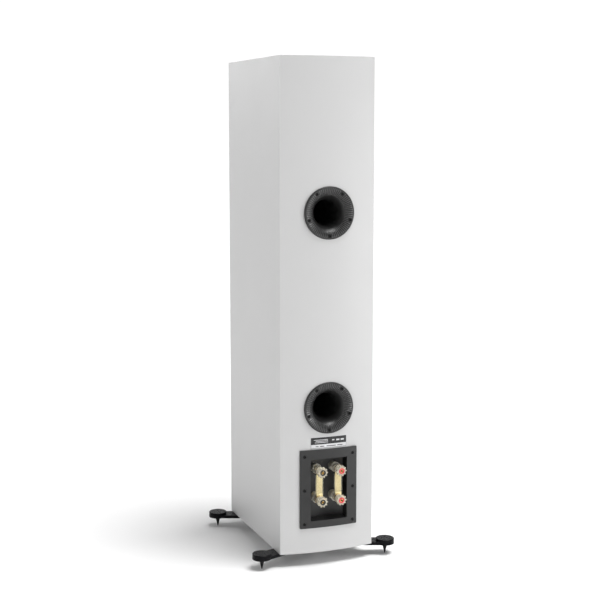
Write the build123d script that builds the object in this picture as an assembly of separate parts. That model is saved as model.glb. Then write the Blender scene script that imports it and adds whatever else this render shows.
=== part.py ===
from build123d import *
import os
from math import cos, radians, sin, sqrt

# A floorstanding speaker. Millimetres, +Z up, front faces -Y, origin on the floor at the middle of the
# whole object's outline, feet and binding posts included. "left" is -X, seen from the front.

# Cabinet
CABINET_WIDTH = 200.0
CABINET_HEIGHT = 990.0
SIDE_DEPTH = 319.0
REAR_BULGE = 11.0
UNDERSIDE_Z = 27.7
FRONT_Y = -171.1
PANEL = 18.0
BAFFLE = 25.0
BRACE = 12.0
DIVIDER_Z = (663.0, 681.0)
BRACE_BOTTOMS = (262.0, 470.0, 868.0)
BRACE_RIM = 22.0

TOP_Z = UNDERSIDE_Z + CABINET_HEIGHT
HALF_WIDTH = CABINET_WIDTH / 2
INNER_X = HALF_WIDTH - PANEL
REAR_Y = FRONT_Y + SIDE_DEPTH
REAR_INNER_Y = REAR_Y - PANEL
BAFFLE_BACK_Y = FRONT_Y + BAFFLE
CREST_Y = REAR_Y + REAR_BULGE
REAR_RADIUS = (HALF_WIDTH**2 + REAR_BULGE**2) / (2 * REAR_BULGE)
REAR_AXIS_Y = CREST_Y - REAR_RADIUS

# Ports: an elliptical flare, then a straight bore
PORT_Z = {"upper": 713.2, "lower": 323.5}
PORT_FACE_Y = CREST_Y + 2.5
FLANGE_RADIUS = 52.5
FLANGE_ROUND = 2.0
FLARE_MOUTH = 50.0
PORT_BORE = 25.0
FLARE_DEPTH = 33.0
PORT_WALL = 4.5
PORT_JOINT_Y = 80.3
PORT_SLEEVE = (2.0, 12.0)
PORT_TUBE_END_Y = -10.0
PORT_BELL = 2.5
PORT_SCREW_RING = 45.6
PORT_SCREW_ANGLES = [-90 + 72 * i for i in range(5)]
THROAT_Y = PORT_FACE_Y - FLARE_DEPTH

# Small black screws of the port flanges and the terminal plate
POCKET_RADIUS = 3.5
SCREW_HEAD = (3.1, 1.2)
SCREW_SHANK = (1.7, 16.0)
SCREW_CROSS = (1.9, 0.4)
PORT_POCKET_DEPTH = 3.8
PLATE_POCKET_DEPTH = 2.3

# Terminal cup
PLATE_HALF_WIDTH = 61.3
PLATE_Z = (79.3, 240.0)
PLATE_PROUD = 3.0
PLATE_CORNER = 2.0
RECESS_HALF_WIDTH = 39.2
RECESS_Z = (94.0, 220.4)
RECESS_RADIUS = 92.0
RECESS_FLOOR_Y = CREST_Y - 30.3
CUP_WALL = 3.0
PLATE_SCREW_X = 52.1
PLATE_SCREW_Z = (88.0, 157.6, 227.0)
CUP_BOSS = (9.0, 119.0)
LABEL_HALF_WIDTH = 38.9
LABEL_Z = (241.8, 265.0)
LABEL_THICKNESS = 0.3

# Binding posts, placed by their axes; lengths are positions along Y
POST_X = 20.3
POST_Z = {"upper": 196.6, "lower": 136.3}
STEM_RADIUS = 4.0
STEM_Y = (104.0, 178.0)
SOCKET_RADIUS = 2.0
SOCKET_DEPTH = 20.0
COLLAR = (10.3, 145.3)
COLLAR_NECK = (8.5, 156.3)
SHOULDER = (6.5, 159.8)
STRAP_WIDTH = 13.0
STRAP_THICKNESS = 1.5
STRAP_DROP = 2.0
STRAP_PAD = 10.5
STRAP_RAMP = 3.0
SLEEVE_FLANGE = (9.3, 161.35, 163.2)
SLEEVE_BODY = (8.0, 170.0)
CAP_BODY = (9.3, 163.5, 172.3)
CAP_GEAR = (11.0, 178.3)
CAP_TEETH = 10
CAP_NOTCH = 2.6
RING = (5.8, 3.0, 179.5)
NUT_RADIUS = 7.0
NUT_THICKNESS = 6.5
FIT = 0.05
GAP = 0.1

# Feet: outrigger arm, levelling wheel and spike
FOOT_X = 135.5
FOOT_Y = {"front": -160.3, "rear": 136.9}
FOOT_RADIUS = 19.2
ARM_Z = (21.3, 27.7)
ARM_WIDTH = 33.0
ARM_LENGTH = 112.0
ARM_SPLAY = 21.0
ARM_SCREWS = (72.0, 98.0)
ARM_SCREW_HEAD = (5.5, 3.4)
ARM_SCREW_SUNK = 0.4
ARM_SCREW_SOCKET = (2.3, 2.0)
ARM_SCREW_SHANK = (3.0, 14.0)
WHEEL_TOP_Z = 32.4
WHEEL_EDGE = 0.8
HUB_RADIUS = 7.0
HUB_BOTTOM_Z = 23.6
HUB_SEAT_Z = 23.3
STUD_RADIUS = 3.0
STUD_FLATS = 2.4
STUD_TOP_Z = 30.8
SPIKE_BASE = 5.8
SPIKE_CONE_Z = 20.4
SPIKE_TIP = 0.8

# Drivers. Profiles are (radius, inset), where inset is the distance behind the baffle's face.
WOOFER_Z = {"upper": 790.0, "lower": 588.0}
WOOFER_FRAME = 84.0
WOOFER_CUTOUT = 71.5
WOOFER_SCREW_RING = 77.5
TWEETER_Z = 930.0
TWEETER_FRAME = 52.0
TWEETER_CUTOUT = 40.0
TWEETER_SCREW_RING = 45.0
DRIVER_SCREW_HEAD = (3.2, 2.2)
DRIVER_SCREW_SHANK = (1.9, 17.5)
DRIVER_SCREW_SEAT = 0.5
DRIVER_SCREW_SOCKET = (1.6, 1.2)
REBATE = 4.0
FRAME_PROUD = 2.5
COIL_MIDDLE = 12.8
COIL_GAP = 0.9

# Crossover board and the leads
BOARD = (60.0, -60.0, 90.0)
BOARD_Z = (53.7, 55.3)
LEAD_RADIUS = 2.0
LEAD_X = -48.0
LEAD_Y = {"lower": -20.0, "upper": 0.0, "tweeter": 20.0}


def block(x, y, z):
    """A box from its (low, high) along each axis."""
    spans = (x, y, z)
    middle = [(low + high) / 2 for low, high in spans]
    size = [high - low for low, high in spans]
    return Pos(*middle) * Box(*size)


def rod(x, z, radius, y_low, y_high):
    """A cylinder along Y."""
    return Pos(x, (y_low + y_high) / 2, z) * Rot(90, 0, 0) * Cylinder(radius, y_high - y_low)


def column(x, y, radius, z_low, z_high):
    """A cylinder along Z."""
    return Pos(x, y, (z_low + z_high) / 2) * Cylinder(radius, z_high - z_low)


def turned(*lines):
    """A solid turned about the Y axis from the lines of a closed outline, drawn as (radius, y)."""
    edges = [edge for line in lines for edge in line.edges()]
    return revolve(make_face(edges), Axis.Y)


def driver_turned(z, corners):
    """A driver's solid turned about its own axis, from corners as (radius, inset)."""
    points = [(radius, FRONT_Y + inset) for radius, inset in corners]
    return Pos(0, 0, z) * turned(Polyline(*points, close=True))


def ring_of(count, radius, start=0.0):
    """The (x, z) places of things evenly spaced on a circle."""
    angles = [radians(start + 360 * i / count) for i in range(count)]
    return [(radius * cos(angle), radius * sin(angle)) for angle in angles]


def back_curve(proud):
    """Everything inside the rear panel's curved face, moved out by proud."""
    height = 2 * TOP_Z
    return Pos(0, REAR_AXIS_Y, 0) * Cylinder(REAR_RADIUS + proud, height)


def curved_sheet(half_width, z, proud, corner):
    """A rounded rectangle of sheet that lies on the curved rear face."""
    height = z[1] - z[0]
    outline = RectangleRounded(2 * half_width, height, corner)
    depth = REAR_BULGE + 2 * proud
    placed = Pos(0, CREST_Y + 2 * proud, (z[0] + z[1]) / 2) * Rot(90, 0, 0) * extrude(outline, depth)
    return placed & back_curve(proud) - back_curve(0)


def recess_curve(extra):
    """Everything inside the cup's concave floor, moved back by extra."""
    axis_y = RECESS_FLOOR_Y + RECESS_RADIUS
    return Pos(0, axis_y, 0) * Cylinder(RECESS_RADIUS + extra, 2 * TOP_Z)


def flare_arc(offset):
    """The quarter ellipse of the port's flare, moved outwards from its air side by offset."""
    across = FLARE_MOUTH - PORT_BORE - offset
    along = FLARE_DEPTH - offset
    return EllipticalCenterArc((FLARE_MOUTH, THROAT_Y), across, along, start_angle=90, arc_size=90)


def port_funnel(offset, back_y, front_y):
    """The port's space, solid from its axis out to the flare moved outwards by offset."""
    arc = flare_arc(offset)
    mouth_y = THROAT_Y + FLARE_DEPTH - offset
    throat = PORT_BORE + offset
    corners = [(throat, THROAT_Y), (throat, back_y), (0, back_y), (0, front_y), (FLARE_MOUTH, front_y)]
    rest = Polyline(*corners, (FLARE_MOUTH, mouth_y))
    return turned(arc, rest)


def port_flange():
    """The flange's ring, with its rounded outer edge, deep enough to reach the curved panel."""
    inner = FLARE_MOUTH - 6
    back_y = PORT_FACE_Y - 8
    flat = FLANGE_RADIUS - FLANGE_ROUND
    low_edge = PORT_FACE_Y - FLANGE_ROUND
    edge = CenterArc((flat, low_edge), FLANGE_ROUND, 0, 90)
    corners = [(flat, PORT_FACE_Y), (inner, PORT_FACE_Y), (inner, back_y), (FLANGE_RADIUS, back_y)]
    rest = Polyline(*corners, (FLANGE_RADIUS, low_edge))
    return turned(edge, rest)


def screw(x, z, seat_y):
    """A cross-head screw whose head stands on seat_y."""
    head_radius, head_height = SCREW_HEAD
    shank_radius, shank_length = SCREW_SHANK
    head = rod(x, z, head_radius, seat_y, seat_y + head_height)
    shank = rod(x, z, shank_radius, seat_y - shank_length, seat_y)
    slot_y = (seat_y + head_height / 2, seat_y + 2 * head_height)
    reach, half = SCREW_CROSS
    cross = block((x - reach, x + reach), slot_y, (z - half, z + half))
    cross = cross + block((x - half, x + half), slot_y, (z - reach, z + reach))
    return head + shank - cross


def port_screw_places(name):
    """The (x, z) of one port's flange screws."""
    turns = [radians(angle) for angle in PORT_SCREW_ANGLES]
    return [(PORT_SCREW_RING * cos(t), PORT_Z[name] + PORT_SCREW_RING * sin(t)) for t in turns]


def plate_screw_places():
    """The (x, z) of the terminal plate's screws."""
    return [(side * PLATE_SCREW_X, z) for side in (-1, 1) for z in PLATE_SCREW_Z]


def plate_seat_y():
    """Where the heads of the plate's screws stand."""
    surface = REAR_AXIS_Y + sqrt((REAR_RADIUS + PLATE_PROUD) ** 2 - PLATE_SCREW_X**2)
    return surface - PLATE_POCKET_DEPTH


def rear_screw_seats():
    """Every rear screw as (x, z, seat_y)."""
    port_seat = PORT_FACE_Y - PORT_POCKET_DEPTH
    seats = [(x, z, port_seat) for name in PORT_Z for x, z in port_screw_places(name)]
    return seats + [(x, z, plate_seat_y()) for x, z in plate_screw_places()]


def pilot(x, z, seat_y):
    """The hole that a rear screw's shank fills."""
    radius, length = SCREW_SHANK
    return rod(x, z, radius + FIT, seat_y - length - 1, seat_y + 1)


def make_panels():
    """The cabinet's six outer panels."""
    inside_y = (BAFFLE_BACK_Y, REAR_INNER_Y)
    across = (-INNER_X, INNER_X)
    height = (UNDERSIDE_Z, TOP_Z)
    side = block((INNER_X, HALF_WIDTH), inside_y, height)
    bottom = block(across, inside_y, (UNDERSIDE_Z, UNDERSIDE_Z + PANEL))
    for x, y in outrigger_screw_places():
        radius, length = ARM_SCREW_SHANK
        bottom = bottom - column(x, y, radius + FIT, UNDERSIDE_Z - 1, UNDERSIDE_Z + length)
    return {
        "side_panel_right": side,
        "side_panel_left": mirror(side, Plane.YZ),
        "top_panel": block(across, inside_y, (TOP_Z - PANEL, TOP_Z)),
        "bottom_panel": bottom,
        "front_baffle": make_baffle(),
        "rear_panel": make_rear_panel(),
    }


def make_baffle():
    """The front baffle, rebated and bored for the drivers and their screws."""
    baffle = block((-HALF_WIDTH, HALF_WIDTH), (FRONT_Y, BAFFLE_BACK_Y), (UNDERSIDE_Z, TOP_Z))
    openings = [(z, WOOFER_FRAME, WOOFER_CUTOUT) for z in WOOFER_Z.values()]
    openings.append((TWEETER_Z, TWEETER_FRAME, TWEETER_CUTOUT))
    for z, frame, cutout in openings:
        rebate = rod(0, z, frame + 0.2, FRONT_Y - 1, FRONT_Y + REBATE)
        baffle = baffle - rebate - rod(0, z, cutout, FRONT_Y, BAFFLE_BACK_Y + 1)
    for x, z in driver_screw_places():
        baffle = baffle - driver_screw_hole(x, z)
    return baffle


def driver_screw_hole(x, z):
    """The hole that a driver screw fills, with its counterbore open to the front."""
    radius, length = DRIVER_SCREW_SHANK
    seat_y = FRONT_Y + DRIVER_SCREW_SEAT
    shank = rod(x, z, radius + FIT, seat_y, seat_y + length + 1)
    return shank + rod(x, z, DRIVER_SCREW_HEAD[0] + 4 * FIT, FRONT_Y - 2 * REBATE, seat_y)


def make_rear_panel():
    """The rear panel: flat inside, convex outside, open for the ports and the terminal cup."""
    span = (REAR_INNER_Y, CREST_Y + 1)
    panel = block((-HALF_WIDTH, HALF_WIDTH), span, (UNDERSIDE_Z, TOP_Z)) & back_curve(0)
    for z in PORT_Z.values():
        panel = panel - Pos(0, 0, z) * port_funnel(PORT_WALL + 0.25, PORT_JOINT_Y, PORT_FACE_Y + 1)
        panel = panel - rod(0, z, FLARE_MOUTH + 0.3, THROAT_Y + FLARE_DEPTH - PORT_WALL - 0.25, PORT_FACE_Y)
    margin = CUP_WALL + 0.5
    opening_x = RECESS_HALF_WIDTH + margin
    opening_z = (RECESS_Z[0] - margin, RECESS_Z[1] + margin)
    panel = panel - block((-opening_x, opening_x), (REAR_INNER_Y - 1, CREST_Y + 1), opening_z)
    for x, z, seat_y in rear_screw_seats():
        panel = panel - pilot(x, z, seat_y)
    return panel


def make_inner_woodwork():
    """The divider between the two chambers, with its lead holes, and the window braces."""
    inside_x = (-INNER_X, INNER_X)
    inside_y = (BAFFLE_BACK_Y, REAR_INNER_Y)
    divider = block(inside_x, inside_y, DIVIDER_Z)
    for name in ("upper", "tweeter"):
        hole = column(LEAD_X, LEAD_Y[name], LEAD_RADIUS + FIT, DIVIDER_Z[0] - 1, DIVIDER_Z[1] + 1)
        divider = divider - hole
    window_x = 2 * (INNER_X - BRACE_RIM)
    window_y = REAR_INNER_Y - BAFFLE_BACK_Y - 2 * BRACE_RIM
    middle_y = (BAFFLE_BACK_Y + REAR_INNER_Y) / 2
    window = extrude(RectangleRounded(window_x, window_y, BRACE_RIM), BRACE + 2)
    braces = []
    for z in BRACE_BOTTOMS:
        plate = block(inside_x, inside_y, (z, z + BRACE))
        braces.append(plate - Pos(0, middle_y, z - 1) * window)
    return {"chamber_divider": divider, "window_braces": braces}


def make_ports():
    """The flared port mouths and the tubes glued on behind them."""
    bore_wall = PORT_BORE + PORT_WALL
    bell = PORT_BELL
    sleeve_wall, sleeve_reach = PORT_SLEEVE
    sleeve_y = (PORT_JOINT_Y - sleeve_reach, PORT_JOINT_Y + sleeve_reach)
    sleeve = rod(0, 0, bore_wall + sleeve_wall, *sleeve_y) - rod(0, 0, bore_wall, *sleeve_y)
    parts = {}
    for name, z in PORT_Z.items():
        body = port_funnel(PORT_WALL, PORT_JOINT_Y, PORT_FACE_Y)
        flare = body + (port_flange() - back_curve(0))
        flare = flare - port_funnel(0, PORT_JOINT_Y - 1, PORT_FACE_Y + 1)
        flare = Pos(0, 0, z) * flare
        seat_y = PORT_FACE_Y - PORT_POCKET_DEPTH
        for x, screw_z in port_screw_places(name):
            flare = flare - rod(x, screw_z, POCKET_RADIUS, seat_y, PORT_FACE_Y + 1)
            flare = flare - pilot(x, screw_z, seat_y)
        parts[f"{name}_port_flare"] = flare
        corners = [
            (PORT_BORE, PORT_JOINT_Y),
            (bore_wall, PORT_JOINT_Y),
            (bore_wall, PORT_TUBE_END_Y),
            (bore_wall + bell, PORT_TUBE_END_Y - bell),
            (PORT_BORE + bell, PORT_TUBE_END_Y - bell),
            (PORT_BORE, PORT_TUBE_END_Y),
        ]
        tube = turned(Polyline(*corners, close=True)) + sleeve
        parts[f"{name}_port_tube"] = Pos(0, 0, z) * tube
    return parts


def make_terminal_cup():
    """The terminal plate with its recess, post bosses and screw pockets."""
    plate = curved_sheet(PLATE_HALF_WIDTH, PLATE_Z, PLATE_PROUD, PLATE_CORNER)
    shell_x = RECESS_HALF_WIDTH + CUP_WALL
    shell_z = (RECESS_Z[0] - CUP_WALL, RECESS_Z[1] + CUP_WALL)
    shell = block((-shell_x, shell_x), (RECESS_FLOOR_Y - CUP_WALL, CREST_Y + 1), shell_z)
    cup = plate + (shell & back_curve(PLATE_PROUD) & recess_curve(CUP_WALL))
    boss_radius, boss_y = CUP_BOSS
    for x, z in post_places().values():
        cup = cup + rod(x, z, boss_radius, boss_y, RECESS_FLOOR_Y + CUP_WALL)
    hollow_x = (-RECESS_HALF_WIDTH, RECESS_HALF_WIDTH)
    hollow = block(hollow_x, (RECESS_FLOOR_Y - 1, CREST_Y + 5), RECESS_Z) & recess_curve(0)
    cup = cup - hollow
    for x, z in post_places().values():
        cup = cup - rod(x, z, STEM_RADIUS + FIT, boss_y - 1, CREST_Y)
    seat_y = plate_seat_y()
    for x, z in plate_screw_places():
        cup = cup - rod(x, z, POCKET_RADIUS, seat_y, CREST_Y + 5) - pilot(x, z, seat_y)
    return cup


def post_places():
    """The four binding posts as name: (x, z)."""
    sides = {"left": -POST_X, "right": POST_X}
    return {f"{row}_{side}": (x, z) for row, z in POST_Z.items() for side, x in sides.items()}


def make_fixed_post_parts():
    """Stems, clear collars and rear nuts: the parts of the posts that don't move."""
    stems = []
    collars = []
    nuts = []
    boss_y = CUP_BOSS[1]
    for x, z in post_places().values():
        stem = rod(x, z, STEM_RADIUS, *STEM_Y) + rod(x, z, SHOULDER[0], COLLAR_NECK[1], SHOULDER[1])
        stems.append(stem - rod(x, z, SOCKET_RADIUS, STEM_Y[1] - SOCKET_DEPTH, STEM_Y[1] + 1))
        foot = rod(x, z, COLLAR[0], RECESS_FLOOR_Y - 1, COLLAR[1]) & recess_curve(0)
        collar = foot + rod(x, z, COLLAR_NECK[0], COLLAR[1], COLLAR_NECK[1])
        collars.append(collar - rod(x, z, STEM_RADIUS + FIT, RECESS_FLOOR_Y - 1, STEM_Y[1]))
        hexagon = extrude(RegularPolygon(NUT_RADIUS, 6), NUT_THICKNESS)
        nut = Pos(x, boss_y, z) * Rot(90, 0, 0) * hexagon
        nuts.append(nut - rod(x, z, STEM_RADIUS + FIT, boss_y - 10, boss_y + 1))
    return {
        "binding_post_stems": stems,
        "binding_post_collars": collars,
        "binding_post_nuts": nuts,
    }


def make_strap(x):
    """A jumper strap with both ends stepped out on to the posts' shoulders."""
    low, high = POST_Z["lower"], POST_Z["upper"]
    out_y = SHOULDER[1]
    in_y = out_y - STRAP_DROP
    reach = STRAP_WIDTH / 2
    line = [
        (out_y, low - reach),
        (out_y, low + STRAP_PAD),
        (in_y, low + STRAP_PAD + STRAP_RAMP),
        (in_y, high - STRAP_PAD - STRAP_RAMP),
        (out_y, high - STRAP_PAD),
        (out_y, high + reach),
    ]
    front = [(y + STRAP_THICKNESS, z) for y, z in reversed(line)]
    section = Plane.YZ * make_face(Polyline(*line, *front, close=True))
    strip = Pos(x - reach, 0, 0) * extrude(section, STRAP_WIDTH, dir=(1, 0, 0))
    stadium = block((x - reach, x + reach), (in_y - 1, out_y + 5), (low, high))
    for z in (low, high):
        stadium = stadium + rod(x, z, reach, in_y - 1, out_y + 5)
    strap = strip & stadium
    for z in (low, high):
        strap = strap - rod(x, z, STEM_RADIUS + FIT, in_y - 1, out_y + 5)
    return strap


def make_moving_post_parts():
    """For each post, the sleeve that clamps the wire, the toothed cap that drives it and its end ring."""
    parts = {}
    flange_radius, flange_y, flange_front_y = SLEEVE_FLANGE
    sleeve_radius, sleeve_front_y = SLEEVE_BODY
    cap_radius, cap_back_y, cap_neck_y = CAP_BODY
    gear_radius, gear_front_y = CAP_GEAR
    ring_radius, ring_bore, ring_front_y = RING
    for name, (x, z) in post_places().items():
        sleeve = rod(x, z, flange_radius, flange_y, flange_front_y)
        sleeve = sleeve + rod(x, z, sleeve_radius, flange_y, sleeve_front_y)
        stem_hole = rod(x, z, STEM_RADIUS + FIT, flange_y - 1, gear_front_y + 1)
        parts[f"clamp_sleeve_{name}"] = sleeve - stem_hole
        cap = rod(x, z, cap_radius, cap_back_y, cap_neck_y)
        cap = cap + rod(x, z, gear_radius, cap_neck_y, gear_front_y)
        for dx, dz in ring_of(CAP_TEETH, gear_radius, 180 / CAP_TEETH):
            cap = cap - rod(x + dx, z + dz, CAP_NOTCH, cap_neck_y, gear_front_y + 1)
        cap = cap - rod(x, z, sleeve_radius + FIT, cap_back_y - 1, sleeve_front_y + GAP)
        parts[f"post_cap_{name}"] = cap - stem_hole
        ring = rod(x, z, ring_radius, gear_front_y, ring_front_y)
        parts[f"cap_ring_{name}"] = ring - rod(x, z, ring_bore, gear_front_y - 1, ring_front_y + 1)
    return parts


def foot_places():
    """The four feet as name: (x, y, side, end), where side and end are -1 or 1."""
    places = {}
    for end, y in FOOT_Y.items():
        for side, sign in {"left": -1, "right": 1}.items():
            places[f"{end}_{side}"] = (sign * FOOT_X, y, sign, -1 if end == "front" else 1)
    return places


def along_arm(x, y, side, end, distance):
    """The point at a distance along the arm from its foot, towards the cabinet's middle."""
    angle = radians(ARM_SPLAY)
    return x - side * distance * cos(angle), y - end * distance * sin(angle)


def outrigger_screw_places():
    """The (x, y) of every screw that holds an outrigger."""
    feet = foot_places().values()
    return [along_arm(*foot, distance) for foot in feet for distance in ARM_SCREWS]


def stud_section(radius, half_flats):
    """A round with two flats."""
    return Circle(radius) & Rectangle(2 * half_flats, 4 * radius)


def make_feet():
    """Each foot's outrigger arm, levelling wheel and spike."""
    parts = {}
    for name, (x, y, side, end) in foot_places().items():
        inner_x, inner_y = along_arm(x, y, side, end, ARM_LENGTH)
        turn = Rot(0, 0, side * end * ARM_SPLAY)
        middle_x, middle_y = along_arm(x, y, side, end, ARM_LENGTH / 2)
        middle_z = (ARM_Z[0] + ARM_Z[1]) / 2
        thickness = ARM_Z[1] - ARM_Z[0]
        bar = Pos(middle_x, middle_y, middle_z) * turn * Box(ARM_LENGTH, ARM_WIDTH, thickness)
        arm = bar + column(x, y, FOOT_RADIUS, *ARM_Z) + column(inner_x, inner_y, ARM_WIDTH / 2, *ARM_Z)
        arm = arm - column(x, y, HUB_RADIUS + FIT, HUB_SEAT_Z, ARM_Z[1] + 1)
        key = extrude(stud_section(STUD_RADIUS + FIT, STUD_FLATS + FIT), thickness)
        arm = arm - Pos(x, y, ARM_Z[0] - 1) * key
        for distance in ARM_SCREWS:
            hole_x, hole_y = along_arm(x, y, side, end, distance)
            arm = arm - column(hole_x, hole_y, ARM_SCREW_SHANK[0] + FIT, ARM_Z[0] - 1, ARM_Z[1] + 1)
            pocket_top = ARM_Z[0] + ARM_SCREW_HEAD[1] + ARM_SCREW_SUNK
            arm = arm - column(hole_x, hole_y, ARM_SCREW_HEAD[0] + 0.3, ARM_Z[0] - 1, pocket_top)
        parts[f"outrigger_{name}"] = arm
        parts[f"levelling_wheel_{name}"] = Pos(x, y, 0) * make_wheel()
        parts[f"spike_{name}"] = Pos(x, y, 0) * make_spike()
    return parts


def make_wheel():
    """A levelling wheel with its threaded hub, on the Z axis."""
    disc_bottom = ARM_Z[1] + FIT
    rim = FOOT_RADIUS
    edge = WHEEL_EDGE
    corners = [
        (0, disc_bottom),
        (rim, disc_bottom),
        (rim, WHEEL_TOP_Z - edge),
        (rim - edge, WHEEL_TOP_Z),
        (0, WHEEL_TOP_Z),
    ]
    disc = revolve(Plane.XZ * make_face(Polyline(*corners, close=True)), Axis.Z)
    hub = column(0, 0, HUB_RADIUS, HUB_BOTTOM_Z, disc_bottom)
    return disc + hub - column(0, 0, STUD_RADIUS + FIT, HUB_BOTTOM_Z - 1, STUD_TOP_Z + FIT)


def make_spike():
    """A spike with its flatted stud, on the Z axis. Its shoulder stops under the outrigger."""
    shoulder_z = ARM_Z[0] - FIT
    corners = [
        (0, 0),
        (SPIKE_TIP, 0),
        (SPIKE_BASE, SPIKE_CONE_Z),
        (SPIKE_BASE, shoulder_z),
        (0, shoulder_z),
    ]
    cone = revolve(Plane.XZ * make_face(Polyline(*corners, close=True)), Axis.Z)
    stud = Pos(0, 0, shoulder_z) * extrude(stud_section(STUD_RADIUS, STUD_FLATS), STUD_TOP_Z - shoulder_z)
    return cone + stud


def make_outrigger_screws():
    """The socket-head screws under the arms."""
    head_radius, head_height = ARM_SCREW_HEAD
    shank_radius, shank_length = ARM_SCREW_SHANK
    socket_radius, socket_depth = ARM_SCREW_SOCKET
    head_top = ARM_Z[0] + head_height + ARM_SCREW_SUNK
    hexagon = extrude(RegularPolygon(socket_radius, 6), 1 + socket_depth)
    screws = []
    for x, y in outrigger_screw_places():
        body = column(x, y, head_radius, head_top - head_height, head_top)
        body = body + column(x, y, shank_radius, head_top, ARM_Z[1] + shank_length - 1)
        screws.append(body - Pos(x, y, head_top - head_height - 1) * hexagon)
    return screws


def make_basket(z):
    """A woofer's frame: front ring, skirt, six spokes, rear ring and terminal tab."""
    shell = driver_turned(z, [
        (66, -FRAME_PROUD + 1.5),
        (67.5, -FRAME_PROUD),
        (WOOFER_FRAME - 2, -FRAME_PROUD),
        (WOOFER_FRAME, -FRAME_PROUD + 2),
        (WOOFER_FRAME, REBATE),
        (69, REBATE),
        (69, 22),
        (46, 66),
        (28, 66),
        (28, 62),
        (44, 62),
        (66, 20),
    ])
    window_y = (FRONT_Y + 26, FRONT_Y + 60)
    for i in range(6):
        window = Rot(0, 60 * i, 0) * block((-22, 22), window_y, (35, 90))
        shell = shell - Pos(0, 0, z) * window
    for x, screw_z in woofer_screw_places(z):
        shell = shell - driver_screw_hole(x, screw_z)
    tab = block((-52, -44), (FRONT_Y + 60, FRONT_Y + 66), (z - 5, z + 5))
    return shell + tab


def make_motor(z, radius, front, back, coil, depth):
    """A magnet motor: yoke, ring magnet and pole, open in front for the voice coil."""
    half = COIL_GAP / 2 + 0.4
    corners = [
        (0, front + 1),
        (coil - half, front + 1),
        (coil - half, front + depth),
        (coil + half, front + depth),
        (coil + half, front),
        (radius, front),
        (radius, back),
        (0, back),
    ]
    return driver_turned(z, corners)


def make_woofer(z):
    """A woofer's moving cone with former and dust cap, and its surround."""
    inner, outer = COIL_MIDDLE - COIL_GAP / 2, COIL_MIDDLE + COIL_GAP / 2
    cone = driver_turned(z, [
        (outer, 29.0),
        (24, 22.5),
        (38, 12.5),
        (56, 1.5),
        (56, 3.0),
        (38, 14.0),
        (24, 24.0),
        (outer, 31.5),
        (outer, 74.0),
        (inner, 74.0),
        (inner, 29.0),
    ])
    cap_front, cap_edge = 14.0, 22.5
    sphere_radius = (24.0**2 + (cap_edge - cap_front) ** 2) / (2 * (cap_edge - cap_front))
    shell = Sphere(sphere_radius) - Sphere(sphere_radius - 0.9)
    shell = Pos(0, FRONT_Y + cap_front + sphere_radius, z) * shell
    cap = shell & rod(0, z, 40, FRONT_Y - 1, FRONT_Y + cap_edge)
    surround = roll_ring(z, 61.0, 5.0, FRONT_Y + 1.5)
    return [cone, cap], surround


def roll_ring(z, middle, roll, base_y):
    """A rubber half-roll with a flat lip on each side."""
    thick = 1.0
    outside = CenterArc((middle, base_y), roll, 180, arc_size=180)
    inside = CenterArc((middle, base_y), roll - thick, 180, arc_size=180)
    lips = [Line(outside @ end, inside @ end) for end in (0, 1)]
    return Pos(0, 0, z) * turned(outside, inside, *lips)


def woofer_screw_places(z):
    """The (x, z) of one woofer's six screws."""
    return [(x, z + dz) for x, dz in ring_of(6, WOOFER_SCREW_RING)]


def driver_screw_places():
    """The (x, z) of every screw in the front."""
    places = [place for z in WOOFER_Z.values() for place in woofer_screw_places(z)]
    tweeter = [(x, TWEETER_Z + dz) for x, dz in ring_of(4, TWEETER_SCREW_RING, 45)]
    return places + tweeter


def make_driver_screws():
    """The socket-head screws of the drivers."""
    head_radius, head_height = DRIVER_SCREW_HEAD
    shank_radius, shank_length = DRIVER_SCREW_SHANK
    socket_radius, socket_depth = DRIVER_SCREW_SOCKET
    seat_y = FRONT_Y + DRIVER_SCREW_SEAT
    head_y = seat_y - head_height
    hexagon = Rot(90, 0, 0) * extrude(RegularPolygon(socket_radius, 6), 1 + socket_depth)
    screws = []
    for x, z in driver_screw_places():
        head = rod(x, z, head_radius, head_y, seat_y)
        shank = rod(x, z, shank_radius, seat_y, seat_y + shank_length)
        screws.append(head + shank - Pos(x, head_y + socket_depth, z) * hexagon)
    return screws


def make_tweeter():
    """The tweeter's faceplate with its shallow horn, dome with edge roll, and motor."""
    plate = driver_turned(TWEETER_Z, [
        (17, 2.5),
        (36, -1.0),
        (40, -FRAME_PROUD + 0.5),
        (TWEETER_FRAME - 1.5, -FRAME_PROUD + 0.5),
        (TWEETER_FRAME, -FRAME_PROUD + 2),
        (TWEETER_FRAME, REBATE),
        (38, REBATE),
        (38, 8),
        (17, 8),
    ])
    for x, dz in ring_of(4, TWEETER_SCREW_RING, 45):
        plate = plate - driver_screw_hole(x, TWEETER_Z + dz)
    coil = COIL_MIDDLE - 0.2
    front_y = FRONT_Y + 6.0
    rise, base = 6.0, 13.0
    sphere_radius = (base**2 + rise**2) / (2 * rise)
    shell = Sphere(sphere_radius) - Sphere(sphere_radius - 0.6)
    dome = Pos(0, front_y - rise + sphere_radius, TWEETER_Z) * shell
    dome = dome & rod(0, TWEETER_Z, base, FRONT_Y - 5, front_y)
    roll = [(12.2, 5.4), (14.2, 3.8), (16.4, 5.4), (16.4, 6.4), (14.2, 4.8), (12.2, 6.4)]
    edge = driver_turned(TWEETER_Z, roll)
    former = driver_turned(TWEETER_Z, [
        (coil - 0.4, 5.4),
        (coil + 0.4, 5.4),
        (coil + 0.4, 14),
        (coil - 0.4, 14),
    ])
    motor = make_motor(TWEETER_Z, 36, 8, 38, coil, 10)
    return plate, dome + edge + former, motor


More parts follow.
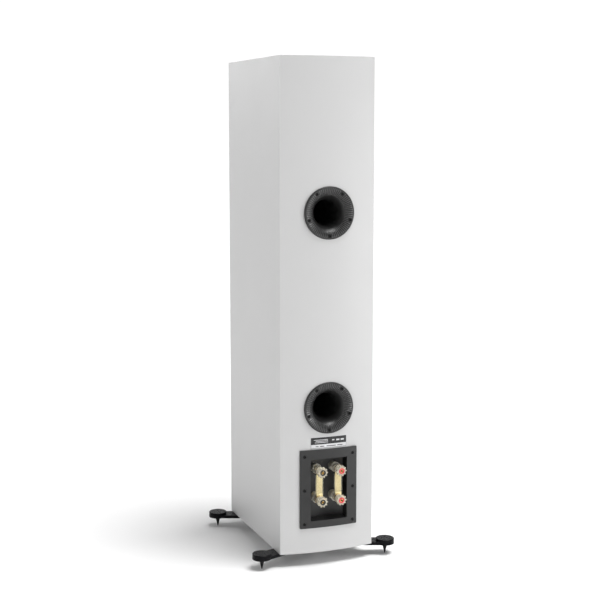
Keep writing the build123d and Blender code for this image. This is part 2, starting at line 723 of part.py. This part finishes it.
def make_crossover():
    """The crossover board on its standoffs, and the components on it."""
    half_width, low_y, high_y = BOARD
    board_parts = [block((-half_width, half_width), (low_y, high_y), BOARD_Z)]
    for x in (-half_width + 6, half_width - 6):
        for y in (low_y + 6, high_y - 6):
            board_parts.append(column(x, y, 3, UNDERSIDE_Z + PANEL, BOARD_Z[0]))
    top = BOARD_Z[1]
    coils = []
    for x, y, radius in ((28, -30, 22), (-8, 30, 18)):
        coils.append(column(x, y, radius, top, top + 20) - column(x, y, radius / 2, top - 1, top + 21))
    capacitors = [rod(x, top + 9, 9, 48, 84) for x in (2, 38)]
    capacitors.append(rod(-30, top + 7, 7, 50, 82))
    resistors = [block((x - 5, x + 5), (-8, 20), (top, top + 9)) for x in (26, 44)]
    return board_parts, coils + capacitors + resistors


def lead(corners, bend):
    """A round lead along straight runs joined by arcs."""
    path = FilletPolyline(*corners, radius=bend)
    return sweep(Plane(origin=path @ 0, z_dir=path % 0) * Circle(LEAD_RADIUS), path=path)


def make_leads():
    """The leads from the crossover board to the drivers and to the lower binding posts."""
    start_z = BOARD_Z[1]
    tab_y = FRONT_Y + 66
    leads = []
    for name, z in WOOFER_Z.items():
        x, y = LEAD_X, LEAD_Y[name]
        leads.append(lead([(x, y, start_z), (x, y, z), (x, tab_y, z)], 25))
    x, y = LEAD_X, LEAD_Y["tweeter"]
    turn_y = y - 60
    route = [(x, y, start_z), (x, y, TWEETER_Z), (-20, turn_y, TWEETER_Z), (-20, FRONT_Y + 38, TWEETER_Z)]
    leads.append(lead(route, 20))
    for x in (-POST_X, POST_X):
        z = POST_Z["lower"]
        leads.append(lead([(x, 70, start_z), (x, 70, z), (x, STEM_Y[0], z)], 15))
    return leads


def make_parts():
    """Every node of the speaker by name."""
    parts = make_panels()
    parts.update(make_inner_woodwork())
    parts.update(make_ports())
    parts["rear_screws"] = [screw(x, z, seat_y) for x, z, seat_y in rear_screw_seats()]
    parts["terminal_cup"] = make_terminal_cup()
    parts["rating_label"] = curved_sheet(LABEL_HALF_WIDTH, LABEL_Z, LABEL_THICKNESS, 0.5)
    parts.update(make_fixed_post_parts())
    parts["jumper_strap_left"] = make_strap(-POST_X)
    parts["jumper_strap_right"] = make_strap(POST_X)
    parts.update(make_moving_post_parts())
    parts.update(make_feet())
    parts["outrigger_screws"] = make_outrigger_screws()
    parts["woofer_motors"] = [make_motor(z, 45, 66, 96, COIL_MIDDLE, 26) for z in WOOFER_Z.values()]
    for name, z in WOOFER_Z.items():
        cone, surround = make_woofer(z)
        parts[f"{name}_woofer_basket"] = make_basket(z)
        parts[f"{name}_woofer_cone"] = cone
        parts[f"{name}_woofer_surround"] = surround
    parts["driver_screws"] = make_driver_screws()
    plate, dome, motor = make_tweeter()
    parts["tweeter_faceplate"] = plate
    parts["tweeter_dome"] = dome
    parts["tweeter_motor"] = motor
    board, components = make_crossover()
    parts["crossover_board"] = board
    parts["crossover_components"] = components
    parts["internal_leads"] = make_leads()
    return parts


os.makedirs("parts", exist_ok=True)
for node, shape in make_parts().items():
    solids = shape if isinstance(shape, list) else [shape]
    solids = [solid for item in solids for solid in item.solids()]
    whole = solids[0] if len(solids) == 1 else Compound(children=solids)
    export_step(whole, f"parts/{node}.step")
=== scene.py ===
import math

import bmesh
import bpy
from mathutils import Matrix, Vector


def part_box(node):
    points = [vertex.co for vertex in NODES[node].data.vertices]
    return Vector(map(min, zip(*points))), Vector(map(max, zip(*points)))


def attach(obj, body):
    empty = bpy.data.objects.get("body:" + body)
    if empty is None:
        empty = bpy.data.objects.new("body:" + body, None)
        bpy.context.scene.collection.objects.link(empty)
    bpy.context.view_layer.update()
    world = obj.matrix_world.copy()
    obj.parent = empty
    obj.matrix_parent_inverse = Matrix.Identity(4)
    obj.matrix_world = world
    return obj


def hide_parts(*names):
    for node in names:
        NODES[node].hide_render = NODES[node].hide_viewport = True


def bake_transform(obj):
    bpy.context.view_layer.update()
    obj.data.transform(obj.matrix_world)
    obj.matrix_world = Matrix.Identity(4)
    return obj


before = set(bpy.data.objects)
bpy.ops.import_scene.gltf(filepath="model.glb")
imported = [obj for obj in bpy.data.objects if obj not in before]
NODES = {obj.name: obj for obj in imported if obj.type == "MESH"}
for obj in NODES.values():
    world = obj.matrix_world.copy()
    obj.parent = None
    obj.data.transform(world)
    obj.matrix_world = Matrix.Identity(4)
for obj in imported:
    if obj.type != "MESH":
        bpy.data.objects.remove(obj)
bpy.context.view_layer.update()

MM = 0.001
SIDES = ("left", "right")
ROWS = ("upper", "lower")


# Materials

LACQUER = (0.53, 0.53, 0.53)
NOISE_LOW, NOISE_HIGH = 0.3, 0.7


class Shader:
    """A material with short calls for the nodes that its surface is made of."""

    def __init__(self, name, colour, roughness, metallic=0.0):
        self.material = bpy.data.materials.new(name)
        self.material.use_nodes = True
        self.nodes = self.material.node_tree.nodes
        self.link = self.material.node_tree.links.new
        self.bsdf = self.nodes["Principled BSDF"]
        self.colour = colour
        self.bsdf.inputs["Base Color"].default_value = (*colour, 1)
        self.bsdf.inputs["Roughness"].default_value = roughness
        self.bsdf.inputs["Metallic"].default_value = metallic
        self.place = self.nodes.new("ShaderNodeTexCoord").outputs["Object"]
        self.material.diffuse_color = (*colour, 1)

    def set(self, **values):
        """Sets sockets by name, with underscores for spaces."""
        for name, value in values.items():
            self.bsdf.inputs[name.replace("_", " ")].default_value = value
        return self

    def stretched(self, scale):
        """The object's coordinates, scaled along each axis."""
        mapping = self.nodes.new("ShaderNodeMapping")
        mapping.inputs["Scale"].default_value = scale
        self.link(self.place, mapping.inputs["Vector"])
        return mapping.outputs["Vector"]

    def noise(self, scale, detail=4.0, stretch=(1, 1, 1)):
        """Noise, with scale as its cells in a metre."""
        node = self.nodes.new("ShaderNodeTexNoise")
        node.inputs["Scale"].default_value = scale
        node.inputs["Detail"].default_value = detail
        self.link(self.stretched(stretch), node.inputs["Vector"])
        return node.outputs["Fac"]

    def span(self, value, low, high):
        """Maps noise's middle range to low..high."""
        node = self.nodes.new("ShaderNodeMapRange")
        node.inputs["From Min"].default_value = NOISE_LOW
        node.inputs["From Max"].default_value = NOISE_HIGH
        node.inputs["To Min"].default_value = low
        node.inputs["To Max"].default_value = high
        self.link(value, node.inputs["Value"])
        return node.outputs["Result"]

    def tint(self, value, amount):
        """Varies the base colour's brightness by plus or minus amount."""
        mix = self.nodes.new("ShaderNodeMix")
        mix.data_type = "RGBA"
        dark = [channel * (1 - amount) for channel in self.colour]
        light = [min(1.0, channel * (1 + amount)) for channel in self.colour]
        mix.inputs["A"].default_value = (*dark, 1)
        mix.inputs["B"].default_value = (*light, 1)
        self.link(self.span(value, 0, 1), mix.inputs["Factor"])
        self.link(mix.outputs["Result"], self.bsdf.inputs["Base Color"])
        return self

    def rough(self, value, low, high):
        """Varies the roughness."""
        self.link(self.span(value, low, high), self.bsdf.inputs["Roughness"])
        return self

    def bump(self, value, height, strength=1.0):
        """Raises the surface by height metres where value is 1, over any bump before it."""
        node = self.nodes.new("ShaderNodeBump")
        node.inputs["Strength"].default_value = strength
        node.inputs["Distance"].default_value = height
        self.link(value, node.inputs["Height"])
        before = self.bsdf.inputs["Normal"]
        if before.is_linked:
            self.link(before.links[0].from_socket, node.inputs["Normal"])
        self.link(node.outputs["Normal"], before)
        return self


def lacquer():
    """White satin lacquer, with slight unevenness of gloss."""
    shader = Shader("white_satin_lacquer", LACQUER, 0.4)
    shader.set(Specular_IOR_Level=0.35)
    shader.tint(shader.noise(5, 2), 0.006)
    return shader.rough(shader.noise(14, 2), 0.38, 0.43).material


def moulded(name, colour, low, high, grain=2600, depth=0.00006):
    """Moulded plastic with a fine spark-eroded grain."""
    shader = Shader(name, colour, low)
    shader.tint(shader.noise(60, 4), 0.12)
    shader.rough(shader.noise(220, 4), low, high)
    return shader.bump(shader.noise(grain, 3), depth, 0.8).material


def plated(name, colour, low, high, stretch=(1, 1, 1)):
    """Plated metal with fine turning marks."""
    shader = Shader(name, colour, low, 1.0)
    shader.tint(shader.noise(300, 4), 0.08)
    shader.rough(shader.noise(500, 4, stretch), low, high)
    return shader.bump(shader.noise(1500, 3, stretch), 0.00001, 0.5).material


def coated(name, colour, low, high, coat):
    """Painted metal: powder coat's pebbled gloss over a dark ground."""
    shader = Shader(name, colour, low, 0.0)
    shader.set(Coat_Weight=coat, Coat_Roughness=0.1, Specular_IOR_Level=0.08)
    shader.tint(shader.noise(80, 4), 0.15)
    shader.rough(shader.noise(250, 4), low, high)
    return shader.bump(shader.noise(1400, 3), 0.00004, 0.6).material


def clear(name, clarity):
    """Clear moulded plastic, more or less milky, with faint flow marks."""
    shader = Shader(name, (0.93, 0.90, 0.78), 0.16)
    shader.set(Transmission_Weight=clarity, IOR=1.46)
    shader.tint(shader.noise(180, 3), 0.05)
    shader.rough(shader.noise(300, 3), 0.1, 0.22)
    return shader.bump(shader.noise(700, 2), 0.00002, 0.4).material


def board():
    """Unfinished fibre board."""
    shader = Shader("raw_fibre_board", (0.36, 0.25, 0.16), 0.8)
    shader.tint(shader.noise(350, 6), 0.25)
    return shader.bump(shader.noise(1200, 4), 0.0001).material


def cone_metal():
    """Anodised cone with fine turned rings."""
    shader = Shader("anodised_cone", (0.12, 0.125, 0.135), 0.32, 0.85)
    shader.tint(shader.noise(40, 4), 0.12)
    shader.rough(shader.noise(400, 5), 0.28, 0.42)
    return shader.bump(shader.noise(2200, 3), 0.00002, 0.5).material


def rubber():
    """Matt rubber with a dusty bloom."""
    shader = Shader("surround_rubber", (0.016, 0.016, 0.017), 0.6)
    shader.set(Sheen_Weight=0.15)
    shader.tint(shader.noise(120, 4), 0.3)
    shader.rough(shader.noise(260, 4), 0.52, 0.7)
    return shader.bump(shader.noise(1800, 3), 0.00004).material


def floor_material():
    """A plain pale floor with the faintest mottling."""
    shader = Shader("studio_floor", (0.9, 0.9, 0.9), 0.9)
    return shader.tint(shader.noise(2, 2), 0.004).material


BLACK = (0.004, 0.004, 0.005)
LOOK = {
    "lacquer": lacquer(),
    "port": moulded("port_plastic", (0.012, 0.012, 0.012), 0.30, 0.40),
    "rib": moulded("rib_plastic", (0.07, 0.07, 0.07), 0.26, 0.36, 2600, 0.00002),
    "tube": moulded("tube_plastic", (0.008, 0.008, 0.008), 0.5, 0.7),
    "cup": moulded("terminal_plastic", (0.012, 0.012, 0.012), 0.34, 0.44),
    "screw": coated("black_oxide_screw", (0.01, 0.01, 0.01), 0.3, 0.45, 0.2),
    "gold": plated("gold_plate", (0.95, 0.66, 0.25), 0.14, 0.26),
    "strap": plated("strap_gold", (0.80, 0.70, 0.40), 0.36, 0.48, (1, 1, 0.1)),
    "zinc": plated("zinc_nut", (0.6, 0.6, 0.62), 0.25, 0.4),
    "clear": clear("clear_moulding", 0.62),
    "sleeve": clear("clear_sleeve", 0.9),
    "red": moulded("red_plastic", (0.62, 0.05, 0.06), 0.22, 0.32, 1500, 0.00002),
    "ring": moulded("black_ring", (0.010, 0.010, 0.011), 0.25, 0.35, 1500, 0.00002),
    "foot": coated("foot_powder_coat", BLACK, 0.24, 0.32, 0.0),
    "spike": coated("spike_black", BLACK, 0.25, 0.38, 0.3),
    "basket": coated("basket_satin", (0.02, 0.02, 0.021), 0.4, 0.55, 0.1),
    "magnet": coated("magnet_grey", (0.07, 0.07, 0.075), 0.5, 0.7, 0.0),
    "cone": cone_metal(),
    "rubber": rubber(),
    "dome": plated("dome_metal", (0.62, 0.63, 0.66), 0.2, 0.3),
    "board": board(),
    "circuit": moulded("circuit_board", (0.03, 0.16, 0.06), 0.35, 0.5),
    "component": moulded("component_enamel", (0.45, 0.16, 0.06), 0.25, 0.4),
    "white_film": moulded("label_white", (0.62, 0.62, 0.63), 0.3, 0.4, 1200, 0.00001),
    "black_film": moulded("label_black", (0.01, 0.01, 0.011), 0.3, 0.4, 1200, 0.00001),
}


def look_of(node):
    """The look that a CAD node gets."""
    by_start = {
        "side_panel": "lacquer", "top_panel": "lacquer", "bottom_panel": "lacquer",
        "front_baffle": "lacquer", "rear_panel": "lacquer", "chamber": "board", "window": "board",
        "terminal_cup": "cup", "rear_screws": "screw", "driver_screws": "screw",
        "outrigger_screws": "screw", "binding_post_stems": "gold", "binding_post_collars": "clear",
        "binding_post_nuts": "zinc", "jumper": "strap", "clamp_sleeve": "gold", "post_cap": "clear",
        "outrigger": "foot", "levelling": "foot", "spike": "spike", "woofer_motors": "magnet",
        "tweeter_motor": "magnet", "tweeter_dome": "dome", "tweeter_faceplate": "cup",
        "crossover_board": "circuit", "crossover_components": "component", "internal": "rubber",
        "rating": "white_film",
    }
    by_end = {"flare": "port", "tube": "tube", "basket": "basket", "cone": "cone", "surround": "rubber"}
    if node.startswith("cap_ring"):
        return "ring" if node.endswith("right") else "red"
    for end, look in by_end.items():
        if node.endswith(end):
            return look
    best = max((start for start in by_start if node.startswith(start)), key=len)
    return by_start[best]


def dress_cad():
    """Gives every CAD node its material."""
    for node, obj in NODES.items():
        material = LOOK[look_of(node)]
        if not obj.material_slots:
            obj.data.materials.append(material)
        for slot in obj.material_slots:
            slot.material = material


# Pieces made here

def piece(name, bm, look, body, smooth=True):
    """A finished mesh that rides on a body."""
    bmesh.ops.recalc_face_normals(bm, faces=bm.faces)
    mesh = bpy.data.meshes.new(name)
    bm.to_mesh(mesh)
    bm.free()
    mesh.materials.append(LOOK[look])
    for polygon in mesh.polygons:
        polygon.use_smooth = smooth
    obj = bpy.data.objects.new(name, mesh)
    bpy.context.scene.collection.objects.link(obj)
    if body:
        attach(obj, body)
    return obj


# Port flare's ribs. The flare is a quarter ellipse, from the mouth's radius to the bore's.
MOUTH, BORE, FLARE_DEPTH = 50 * MM, 25 * MM, 33 * MM
RIB_COUNT = 72
RIB_RADII = (34 * MM, 49.2 * MM)
RIB_STEPS = 26
RIB_HEIGHT = 1.0 * MM
RIB_HALF = 0.5 * math.pi / RIB_COUNT
RIB_SINK = 0.08 * MM
POCKETS = 5
POCKET_RING, POCKET_CLEAR = 45.6 * MM, 4.3 * MM


def flare_depth(radius):
    """How far behind the port's face the flare is at a radius."""
    across = (MOUTH - radius) / (MOUTH - BORE)
    return FLARE_DEPTH * (1 - math.sqrt(max(0.0, 1 - across**2)))


def flare_normal(radius):
    """The flare's outward normal at a radius, as (radial, along +Y)."""
    across = (radius - MOUTH) / (MOUTH - BORE) ** 2
    along = (FLARE_DEPTH - flare_depth(radius)) / FLARE_DEPTH**2
    length = math.hypot(across, along)
    return across / length, along / length


def pocket_places():
    """The port's screw pockets, from its axis."""
    turns = [math.radians(-90 + 360 * i / POCKETS) for i in range(POCKETS)]
    return [(POCKET_RING * math.cos(turn), POCKET_RING * math.sin(turn)) for turn in turns]


def rib_radius(step):
    """How far from the port's axis a rib is at a step."""
    return RIB_RADII[0] + (RIB_RADII[1] - RIB_RADII[0]) * step / RIB_STEPS


def rib_runs(angle):
    """The unbroken stretches of one rib, as lists of steps, clear of the screw pockets."""
    runs = [[]]
    for step in range(RIB_STEPS + 1):
        x, z = rib_radius(step) * math.cos(angle), rib_radius(step) * math.sin(angle)
        if min(math.hypot(x - px, z - pz) for px, pz in pocket_places()) < POCKET_CLEAR:
            runs.append([])
        else:
            runs[-1].append(step)
    return [run for run in runs if len(run) > 1]


def rib_section(bm, centre, face_y, angle, step):
    """The three corners of a rib at a step: low, crest, low."""
    radius = rib_radius(step)
    radial, along = flare_normal(radius)
    fade = min(1.0, step / 3 + 0.05, (RIB_STEPS - step) / 2 + 0.05)
    corners = []
    for turn, lift in ((-RIB_HALF, -RIB_SINK), (0.0, RIB_HEIGHT * fade), (RIB_HALF, -RIB_SINK)):
        r = radius + radial * lift
        x, z = r * math.cos(angle + turn), r * math.sin(angle + turn)
        y = face_y - flare_depth(radius) + along * lift
        corners.append(bm.verts.new((centre.x + x, y, centre.z + z)))
    return corners


def add_ribs(row):
    """Fine radial ribs on the port's flare, broken where the screw pockets are."""
    low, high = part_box(f"{row}_port_flare")
    centre = (Vector(low) + Vector(high)) / 2
    bm = bmesh.new()
    for i in range(RIB_COUNT):
        angle = 2 * math.pi * (i + 0.5) / RIB_COUNT
        for run in rib_runs(angle):
            sections = [rib_section(bm, centre, high[1], angle, step) for step in run]
            bm.faces.new(sections[0])
            bm.faces.new(sections[-1])
            join_sections(bm, sections)
    return piece(f"{row}_port_ribs", bm, "rib", "cabinet", smooth=False)


def join_sections(bm, sections):
    """Walls between closed outlines that follow each other."""
    for before, after in zip(sections, sections[1:]):
        for i in range(len(before)):
            j = (i + 1) % len(before)
            bm.faces.new((before[i], before[j], after[j], after[i]))


# Label: printed blocks on the curved film
BULGE_HALF, BULGE = 100 * MM, 11 * MM
TILE_STEP = 4 * MM
REAR_RADIUS = (BULGE_HALF**2 + BULGE**2) / (2 * BULGE)


def rear_surface_y(x, proud):
    """The curved rear face at x, moved out by proud."""
    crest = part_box("rear_panel")[1][1]
    return crest - REAR_RADIUS + math.sqrt((REAR_RADIUS + proud) ** 2 - x * x)


def curved_tile(bm, x0, x1, z0, z1, inner, outer):
    """A thin tile between two offsets of the rear face."""
    steps = max(2, int((x1 - x0) / TILE_STEP))
    rows = []
    for i in range(steps + 1):
        x = x0 + (x1 - x0) * i / steps
        ring = []
        for proud, z in ((inner, z0), (outer, z0), (outer, z1), (inner, z1)):
            ring.append(bm.verts.new((x, rear_surface_y(x, proud), z)))
        rows.append(ring)
    join_sections(bm, rows)
    bm.faces.new(rows[0])
    bm.faces.new(rows[-1])


def add_label():
    """The black band, the border and plain bars in place of the printed marks."""
    low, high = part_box("rating_label")
    film, ink, white_ink = 0.3 * MM, 0.36 * MM, 0.4 * MM
    x0, x1, z0, z1 = low[0], high[0], low[2], high[2]
    band_z = z0 + 8.3 * MM
    line = 0.5 * MM
    inset = 0.6 * MM
    dark = bmesh.new()
    curved_tile(dark, x0 + inset, x1 - inset, band_z, z1 - inset, film, ink)
    curved_tile(dark, x0 + inset, x1 - inset, z0 + inset, z0 + inset + line, film, ink)
    for x in (x0 + inset, x1 - inset - line):
        curved_tile(dark, x, x + line, z0 + inset + line, band_z, film, ink)
    for x, width in ((-30, 12), (-15, 20), (10, 9), (22, 6)):
        curved_tile(dark, x * MM, (x + width) * MM, z0 + 3.4 * MM, z0 + 4.8 * MM, film, ink)
    piece("rating_label_dark_print", dark, "black_film", "cabinet", smooth=False)
    light = bmesh.new()
    marks = ((-33, 7, 3, 5.4), (-23, 7, 3, 5.4), (-12, 5, 2.2, 6.2))
    lines = ((2, 30, 1.0, 8.6), (2, 26, 1.0, 5.9), (2, 28, 1.0, 3.2))
    for x, width, height, up in marks + lines:
        z = band_z + up * MM
        curved_tile(light, x * MM, (x + width) * MM, z, z + height * MM, ink, white_ink)
    piece("rating_label_light_print", light, "white_film", "cabinet", smooth=False)


# Woofer surrounds, split into sectors, each a half roll from basket to cone
SECTORS = 24
SECTOR_STEPS = 4
ROLL_STEPS = 14
ROLL_MIDDLE, ROLL = 61 * MM, 4.9 * MM
RUBBER = 0.9 * MM


def surround_line(front_y):
    """The roll's front outline from basket to cone, as (radius, y)."""
    base = front_y + 1.5 * MM
    line = [(68.0 * MM, base - 3.4 * MM), (66.4 * MM, base - 2.6 * MM)]
    for i in range(ROLL_STEPS + 1):
        turn = math.pi * i / ROLL_STEPS
        line.append((ROLL_MIDDLE + ROLL * math.cos(turn), base - ROLL * math.sin(turn)))
    line += [(55.4 * MM, base - 0.35 * MM), (53.2 * MM, base + 1.15 * MM)]
    return line


def add_surround(row):
    """One woofer's rubber surround."""
    low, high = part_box(f"{row}_woofer_cone")
    centre_z = (low[2] + high[2]) / 2
    front_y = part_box("front_baffle")[0][1]
    line = surround_line(front_y)
    width = 2 * math.pi / SECTORS
    for sector in range(SECTORS):
        bm = bmesh.new()
        grid = []
        for step in range(SECTOR_STEPS + 1):
            angle = width * (sector + step / SECTOR_STEPS)
            shown = [(r * math.cos(angle), y, centre_z + r * math.sin(angle)) for r, y in line]
            hidden = [(x, y + RUBBER, z) for x, y, z in shown]
            grid.append([bm.verts.new(point) for point in shown + hidden[::-1]])
        join_sections(bm, grid)
        bm.faces.new(grid[0])
        bm.faces.new(grid[-1])
        obj = piece(f"{row}_surround_{sector:02d}", bm, "rubber", None)
        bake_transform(obj)
        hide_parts(f"{row}_woofer_surround")


def add_strap_sleeve(side):
    """The clear sleeve round a jumper strap's middle."""
    low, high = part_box(f"jumper_strap_{side}")
    overhang, lift, end, thickness, round_edge = 2.4 * MM, 0.5 * MM, 16 * MM, 1.5 * MM, 1.1 * MM
    x0, x1 = low[0] - overhang, high[0] + overhang
    y0, y1 = low[1] - lift, low[1] + thickness + lift
    z0, z1 = low[2] + end, high[2] - end
    bm = bmesh.new()
    bmesh.ops.create_cube(bm, size=1)
    for vert in bm.verts:
        vert.co.x = x1 if vert.co.x > 0 else x0
        vert.co.y = y1 if vert.co.y > 0 else y0
        vert.co.z = z1 if vert.co.z > 0 else z0
    edges = [edge for edge in bm.edges if abs(edge.verts[0].co.z - edge.verts[1].co.z) > MM]
    bmesh.ops.bevel(bm, geom=edges, offset=round_edge, segments=5, affect="EDGES")
    piece(f"strap_sleeve_{side}", bm, "sleeve", "cabinet", smooth=False)


# Floor, room, lights and camera
FLOOR_SIZE = 30
LIGHT_AIM = (0, 0, 0.5)
WHITE_UP_TO, DIM_FROM = 0.2, 0.45
HORIZON_LIGHT, OVERHEAD_LIGHT = 1.05, 0.22
SUN_STRENGTH, SUN_WIDTH = 3.3, 34
SUN_FROM = (-0.42, 0.34, 1.7)
LIGHTS = (
    ("front_fill", (1.6, -3.0, 1.8), 1.6, 18),
    ("terminal_glow", (-1.7, 1.7, 0.25), 1.0, 16),
)
CAMERA_PLACE = (0.9342, 2.4372, 0.8791)
CAMERA_TURN = (83.09, 0.0, 159.05)
CAMERA_LENS = 75.34
SENSOR_WIDTH = 36
CAMERA_RISE = -0.0333


def add_stage():
    """Floor, world, lights and camera."""
    bpy.ops.mesh.primitive_plane_add(size=FLOOR_SIZE)
    floor = bpy.context.object
    floor.name = "floor"
    floor.data.materials.append(floor_material())
    add_world()
    for name, place, size, power in LIGHTS:
        data = bpy.data.lights.new(name, "AREA")
        data.size = size
        data.energy = power
        light = bpy.data.objects.new(name, data)
        light.location = place
        light.visible_camera = False
        light.rotation_euler = (Vector(LIGHT_AIM) - Vector(place)).to_track_quat("-Z", "Y").to_euler()
        bpy.context.scene.collection.objects.link(light)
    add_sun()
    bpy.context.scene.view_settings.view_transform = "Standard"


def add_world():
    """A room that is white around the horizon and dimmer overhead."""
    world = bpy.data.worlds.new("studio")
    bpy.context.scene.world = world
    world.use_nodes = True
    nodes, link = world.node_tree.nodes, world.node_tree.links.new
    place = nodes.new("ShaderNodeTexCoord").outputs["Generated"]
    split = nodes.new("ShaderNodeSeparateXYZ")
    link(place, split.inputs["Vector"])
    ramp = nodes.new("ShaderNodeMapRange")
    ramp.interpolation_type = "SMOOTHSTEP"
    ramp.inputs["From Min"].default_value = WHITE_UP_TO
    ramp.inputs["From Max"].default_value = DIM_FROM
    ramp.inputs["To Min"].default_value = HORIZON_LIGHT
    ramp.inputs["To Max"].default_value = OVERHEAD_LIGHT
    link(split.outputs["Z"], ramp.inputs["Value"])
    link(ramp.outputs["Result"], nodes["Background"].inputs["Strength"])
    nodes["Background"].inputs["Color"].default_value = (1, 1, 1, 1)


def add_sun():
    """A very large soft source, high on the side of the terminals."""
    data = bpy.data.lights.new("soft_sun", "SUN")
    data.energy = SUN_STRENGTH
    data.angle = math.radians(SUN_WIDTH)
    sun = bpy.data.objects.new("soft_sun", data)
    sun.rotation_euler = Vector(SUN_FROM).to_track_quat("Z", "Y").to_euler()
    bpy.context.scene.collection.objects.link(sun)


def add_camera():
    """A camera behind the speaker and to its right, a little above the middle."""
    data = bpy.data.cameras.new("camera")
    data.lens = CAMERA_LENS
    data.sensor_width = SENSOR_WIDTH
    data.shift_y = CAMERA_RISE
    camera = bpy.data.objects.new("camera", data)
    camera.location = CAMERA_PLACE
    camera.rotation_euler = [math.radians(angle) for angle in CAMERA_TURN]
    bpy.context.scene.collection.objects.link(camera)
    bpy.context.scene.camera = camera


dress_cad()
for row in ROWS:
    add_ribs(row)
    add_surround(row)
for side in SIDES:
    add_strap_sleeve(side)
add_label()
add_stage()
add_camera()
